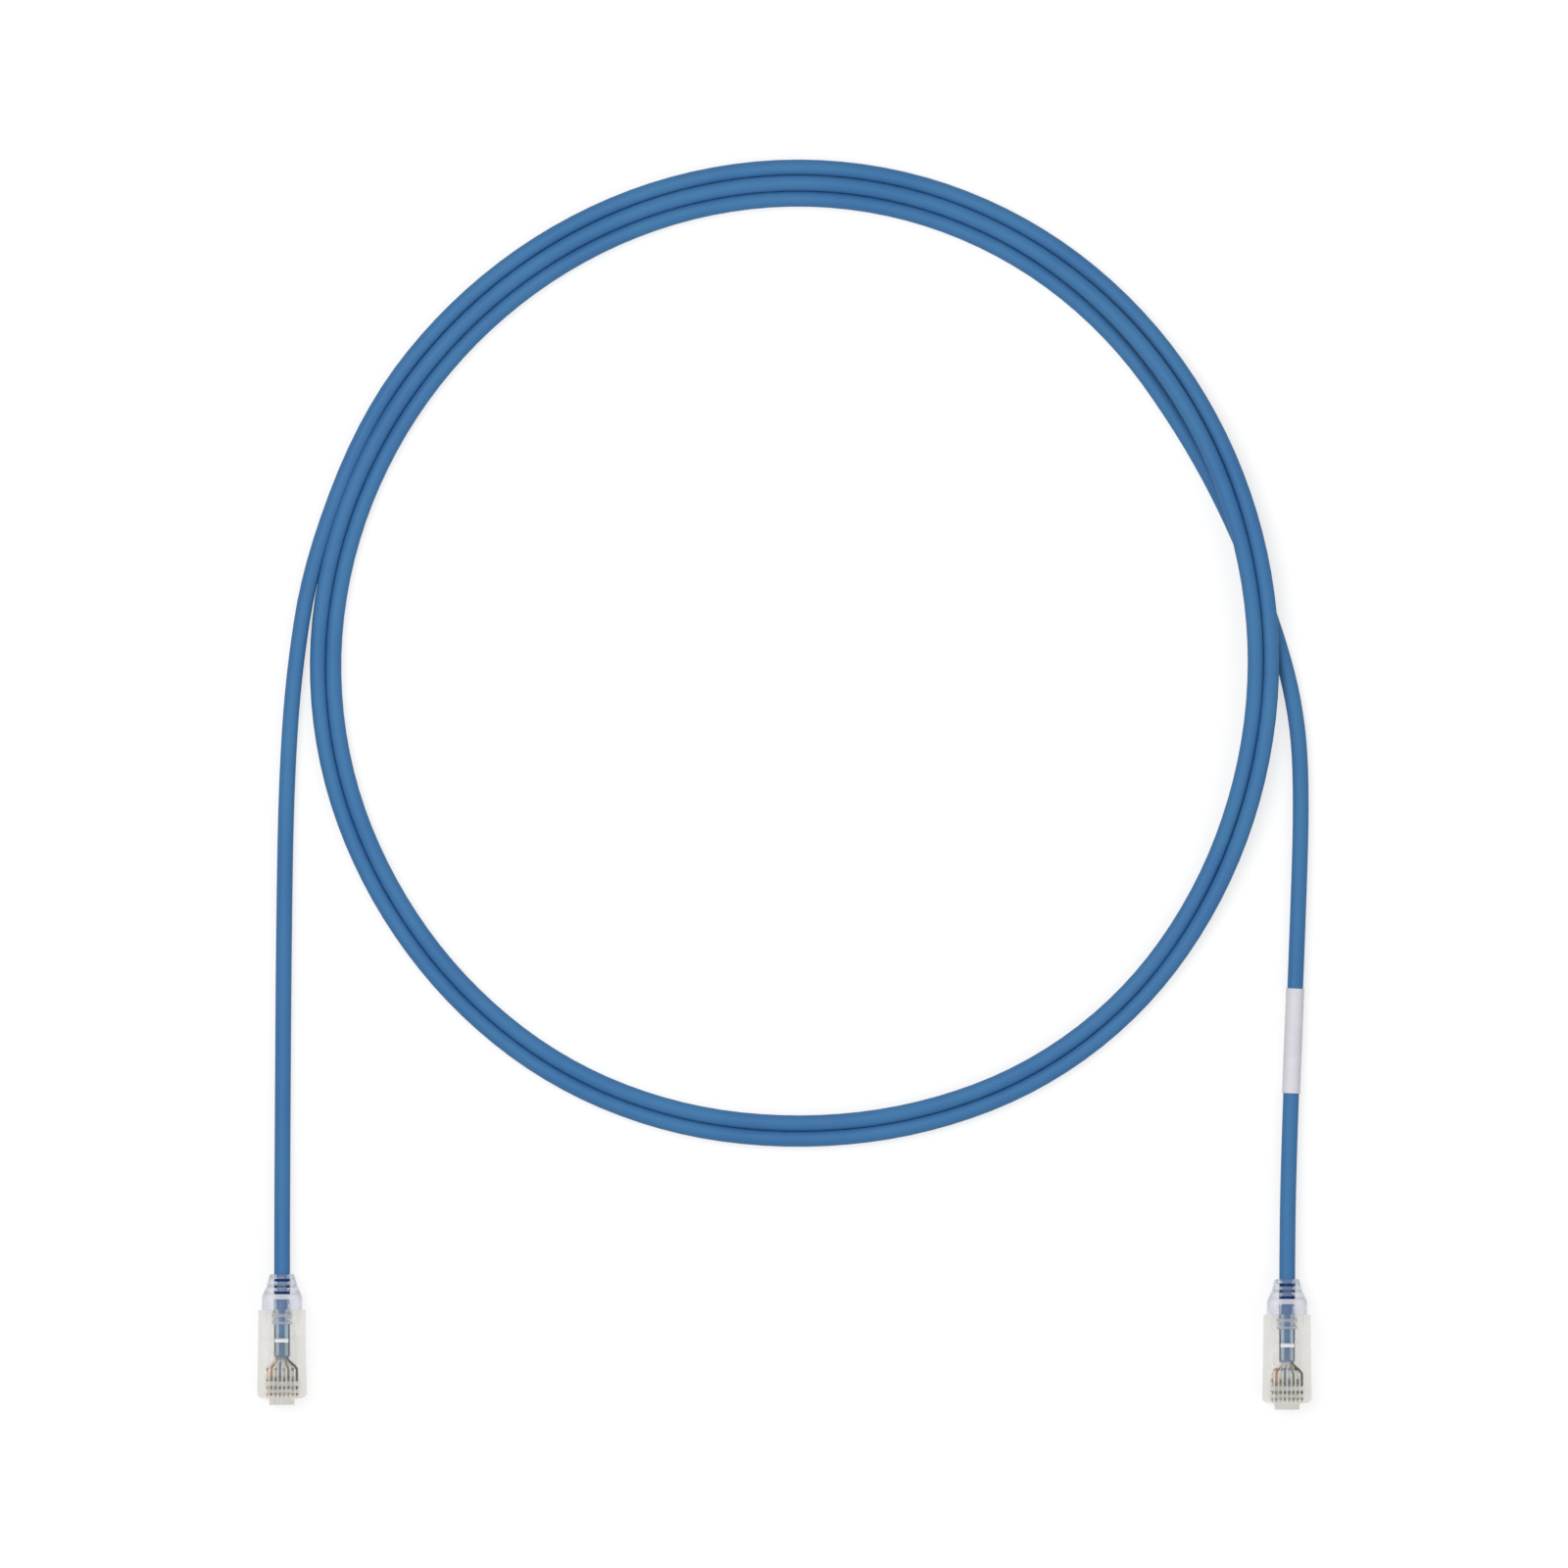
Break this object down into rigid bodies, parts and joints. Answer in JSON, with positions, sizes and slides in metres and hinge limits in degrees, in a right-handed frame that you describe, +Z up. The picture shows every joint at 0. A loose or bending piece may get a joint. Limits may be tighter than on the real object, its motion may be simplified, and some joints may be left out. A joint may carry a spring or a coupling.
{
  "type": "ethernet patch cable",
  "caption": "Blue network patch cable in a flat coil, with a clear latching modular plug, boot and coloured wires at each end.",
  "frame": {"origin": "bottom centre of the bounding box of the two plugs, on the table, midway between them", "axes": "+X from the left plug to the right plug, +Y from the plugs' noses towards the coil, +Z up from the table"},
  "size_m": [0.251, 0.2976, 0.0102],
  "materials": {
    "jacket": "satin blue jacket",
    "clear": "clear, polished",
    "clear_insert": "clear",
    "boot": "clear, soft, faintly lavender",
    "contact": "gold plated",
    "label": "matte white film",
    "wire_white_orange": "insulation",
    "wire_orange": "insulation",
    "wire_white_green": "insulation",
    "wire_blue": "insulation",
    "wire_white_blue": "insulation",
    "wire_green": "insulation",
    "wire_white_brown": "insulation",
    "wire_brown": "insulation"
  },
  "bodies": {
    "cable": {"cable_coil": "jacket", "cable_lead_left": "jacket", "cable_lead_right": "jacket", "cable_label": "label", "plug_left_housing": "clear", "plug_left_load_bar": "clear_insert", "plug_left_boot": "boot", "plug_left_contact_1": "contact", "plug_left_wire_white_orange": "wire_white_orange", "plug_left_contact_2": "contact", "plug_left_wire_orange": "wire_orange", "plug_left_contact_3": "contact", "plug_left_wire_white_green": "wire_white_green", "plug_left_contact_4": "contact", "plug_left_wire_blue": "wire_blue", "plug_left_contact_5": "contact", "plug_left_wire_white_blue": "wire_white_blue", "plug_left_contact_6": "contact", "plug_left_wire_green": "wire_green", "plug_left_contact_7": "contact", "plug_left_wire_white_brown": "wire_white_brown", "plug_left_contact_8": "contact", "plug_left_wire_brown": "wire_brown", "plug_right_housing": "clear", "plug_right_load_bar": "clear_insert", "plug_right_boot": "boot", "plug_right_contact_1": "contact", "plug_right_wire_white_orange": "wire_white_orange", "plug_right_contact_2": "contact", "plug_right_wire_orange": "wire_orange", "plug_right_contact_3": "contact", "plug_right_wire_white_green": "wire_white_green", "plug_right_contact_4": "contact", "plug_right_wire_blue": "wire_blue", "plug_right_contact_5": "contact", "plug_right_wire_white_blue": "wire_white_blue", "plug_right_contact_6": "contact", "plug_right_wire_green": "wire_green", "plug_right_contact_7": "contact", "plug_right_wire_white_brown": "wire_white_brown", "plug_right_contact_8": "contact", "plug_right_wire_brown": "wire_brown"},
    "latch_left": {"plug_left_latch": "clear"},
    "latch_right": {"plug_right_latch": "clear"}
  },
  "joints": [
    {"name": "latch_left_press", "type": "hinge", "parent": "cable", "child": "latch_left", "pos_m": [-0.1197, -0.01413, 0.0061], "axis": [-1, 0, 0], "range_deg": [0, 9], "stiffness_Nm_per_rad": 0.25},
    {"name": "latch_right_press", "type": "hinge", "parent": "cable", "child": "latch_right", "pos_m": [0.1197, -0.01528, 0.0061], "axis": [-1, 0, 0], "range_deg": [0, 9], "stiffness_Nm_per_rad": 0.25}
  ]
}
